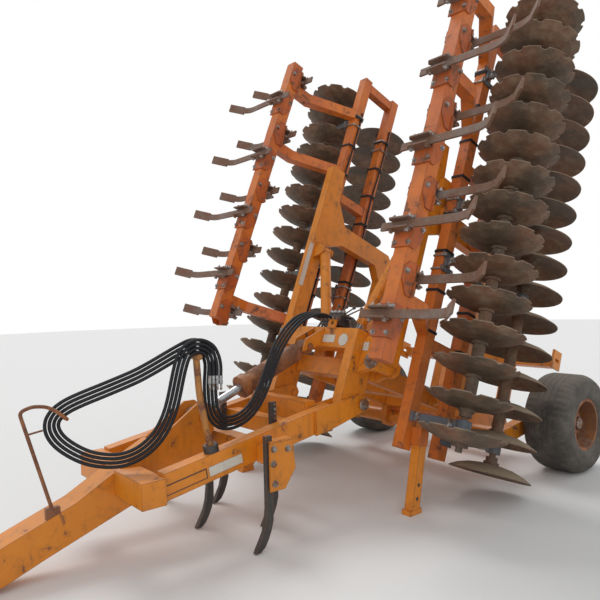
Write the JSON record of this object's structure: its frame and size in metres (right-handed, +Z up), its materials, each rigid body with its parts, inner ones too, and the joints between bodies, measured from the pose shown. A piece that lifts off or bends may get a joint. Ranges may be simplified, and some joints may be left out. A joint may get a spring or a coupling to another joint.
{
  "type": "trailed folding disc harrow",
  "caption": "Trailed folding disc harrow, parked with both wings upright: hinged drawbar with tines and hitch eye, portal and rails, lift axle, and disc gangs and tine beams on each wing",
  "frame": {"origin": "on the floor under the middle of the machine's bounding box", "axes": "-Y at the hitch, +Y at the rear, +X at the machine's left, +Z up"},
  "size_m": [3.5024, 5.455, 4.1021],
  "materials": {
    "orange_paint": "weathered",
    "faded_paint": "weathered",
    "rusty_paint": "rusty",
    "black_paint": "worn",
    "hanger_paint": "dusty",
    "worn_steel": "worn",
    "soil_steel": "rusty, soil-covered",
    "chrome_rod": "polished",
    "tyre_rubber": "dusty",
    "hose_rubber": "worn",
    "coupler_steel": "worn"
  },
  "bodies": {
    "chassis": {"portal": "orange_paint", "valve_block": "black_paint", "chassis_rails": "orange_paint", "rear_frame": "orange_paint"},
    "drawbar": {"drawbar_nose": "orange_paint", "drawbar_side_beams": "orange_paint", "drawbar_cross_tubes": "orange_paint", "drawbar_tines": "black_paint", "hitch_eye": "worn_steel", "hose_supports": "rusty_paint", "hose_1": "hose_rubber", "hose_2": "hose_rubber", "hose_3": "hose_rubber", "hose_4": "hose_rubber", "hose_couplers": "coupler_steel"},
    "drawbar_barrel": {"drawbar_barrel": "rusty_paint"},
    "drawbar_rod": {"drawbar_rod": "chrome_rod"},
    "axle": {"wheel_arms": "orange_paint"},
    "wheel_left": {"tyre_left": "tyre_rubber", "rim_left": "orange_paint"},
    "wheel_right": {"tyre_right": "tyre_rubber", "rim_right": "orange_paint"},
    "wing_left": {"tine_beam_left": "faded_paint", "wing_arms_left": "faded_paint", "gang_beams_left": "faded_paint", "fold_frame_left": "orange_paint", "gang_hangers_left": "hanger_paint", "tines_left": "worn_steel"},
    "stand_left": {"stand_leg_left": "orange_paint"},
    "front_gang_left": {"front_discs_left": "soil_steel", "front_shaft_left": "soil_steel"},
    "rear_gang_left": {"rear_discs_left": "soil_steel", "rear_shaft_left": "soil_steel"},
    "fold_barrel_left": {"fold_barrel_left": "faded_paint"},
    "fold_rod_left": {"fold_rod_left": "chrome_rod"},
    "wing_right": {"tine_beam_right": "faded_paint", "wing_arms_right": "faded_paint", "gang_beams_right": "faded_paint", "fold_frame_right": "orange_paint", "gang_hangers_right": "hanger_paint", "tines_right": "worn_steel"},
    "stand_right": {"stand_leg_right": "orange_paint"},
    "front_gang_right": {"front_discs_right": "soil_steel", "front_shaft_right": "soil_steel"},
    "rear_gang_right": {"rear_discs_right": "soil_steel", "rear_shaft_right": "soil_steel"},
    "fold_barrel_right": {"fold_barrel_right": "faded_paint"},
    "fold_rod_right": {"fold_rod_right": "chrome_rod"}
  },
  "joints": [
    {"name": "drawbar_hinge", "type": "hinge", "parent": "chassis", "child": "drawbar", "pos_m": [0, 0.3325, 0.78], "axis": [1, 0, 0], "range_deg": [-35, 5], "deforming": ["hose_1", "hose_2", "hose_3", "hose_4"]},
    {"name": "drawbar_cylinder_tilt", "type": "hinge", "parent": "chassis", "child": "drawbar_barrel", "pos_m": [0, 0.1825, 1.22], "axis": [1, 0, 0], "range_deg": [-39.84, 5.86]},
    {"name": "drawbar_cylinder_slide", "type": "slide", "parent": "drawbar_barrel", "child": "drawbar_rod", "axis": [0, -0.926, -0.3776], "range_m": [-0.2693, 0.0393]},
    {"name": "axle_lift", "type": "hinge", "parent": "chassis", "child": "axle", "pos_m": [0, 1.6918, 0.35479], "axis": [1, 0, 0], "range_deg": [-89, 0]},
    {"name": "wheel_spin_left", "type": "hinge", "parent": "axle", "child": "wheel_left", "pos_m": [1.166, 2.2925, 0.435], "axis": [1, 0, 0], "continuous": true},
    {"name": "wheel_spin_right", "type": "hinge", "parent": "axle", "child": "wheel_right", "pos_m": [-1.166, 2.2925, 0.435], "axis": [1, 0, 0], "continuous": true},
    {"name": "wing_fold_left", "type": "hinge", "parent": "chassis", "child": "wing_left", "pos_m": [0.6, 0.45505, 1.0864], "axis": [0, 0.9285, -0.3714], "range_deg": [0, 90]},
    {"name": "fold_cylinder_tilt_left", "type": "hinge", "parent": "wing_left", "child": "fold_barrel_left", "pos_m": [0.505, 0.90812, 2.0576], "axis": [0, 0.9285, -0.3714], "range_deg": [-19.95, 0]},
    {"name": "fold_cylinder_slide_left", "type": "slide", "parent": "fold_barrel_left", "child": "fold_rod_left", "axis": [-0.3653, -0.3457, -0.8643], "range_m": [0, 0.5326]},
    {"name": "front_gang_spin_left", "type": "hinge", "parent": "wing_left", "child": "front_gang_left", "pos_m": [1.254, 0.58412, 0.67936], "axis": [0, 0.3714, 0.9285], "continuous": true},
    {"name": "rear_gang_spin_left", "type": "hinge", "parent": "wing_left", "child": "rear_gang_left", "pos_m": [1.123, 1.19321, 0.43574], "axis": [0, 0.3714, 0.9285], "continuous": true},
    {"name": "stand_slide_left", "type": "slide", "parent": "wing_left", "child": "stand_left", "axis": [0, 0.213, 0.977], "range_m": [0, 0.45]},
    {"name": "wing_fold_right", "type": "hinge", "parent": "chassis", "child": "wing_right", "pos_m": [-0.6, 0.45505, 1.0864], "axis": [0, -0.9285, 0.3714], "range_deg": [0, 90]},
    {"name": "fold_cylinder_tilt_right", "type": "hinge", "parent": "wing_right", "child": "fold_barrel_right", "pos_m": [-0.505, 0.90812, 2.0576], "axis": [0, -0.9285, 0.3714], "range_deg": [-19.95, 0]},
    {"name": "fold_cylinder_slide_right", "type": "slide", "parent": "fold_barrel_right", "child": "fold_rod_right", "axis": [0.3653, -0.3457, -0.8643], "range_m": [0, 0.5326]},
    {"name": "front_gang_spin_right", "type": "hinge", "parent": "wing_right", "child": "front_gang_right", "pos_m": [-1.254, 0.58412, 0.67936], "axis": [0, 0.3714, 0.9285], "continuous": true},
    {"name": "rear_gang_spin_right", "type": "hinge", "parent": "wing_right", "child": "rear_gang_right", "pos_m": [-1.123, 1.19321, 0.43574], "axis": [0, 0.3714, 0.9285], "continuous": true},
    {"name": "stand_slide_right", "type": "slide", "parent": "wing_right", "child": "stand_right", "axis": [0, 0.5195, 0.8545], "range_m": [0, 0.52]}
  ],
  "couplings": [
    {"joint": "drawbar_cylinder_tilt", "follows": "drawbar_hinge", "ratio": 1.1326},
    {"joint": "drawbar_cylinder_slide", "follows": "drawbar_hinge", "m_per_rad": 0.43921},
    {"joint": "fold_cylinder_tilt_left", "follows": "wing_fold_left", "ratio": -0.21933},
    {"joint": "fold_cylinder_slide_left", "follows": "wing_fold_left", "m_per_rad": 0.33843},
    {"joint": "fold_cylinder_tilt_right", "follows": "wing_fold_right", "ratio": -0.21933},
    {"joint": "fold_cylinder_slide_right", "follows": "wing_fold_right", "m_per_rad": 0.33843}
  ]
}
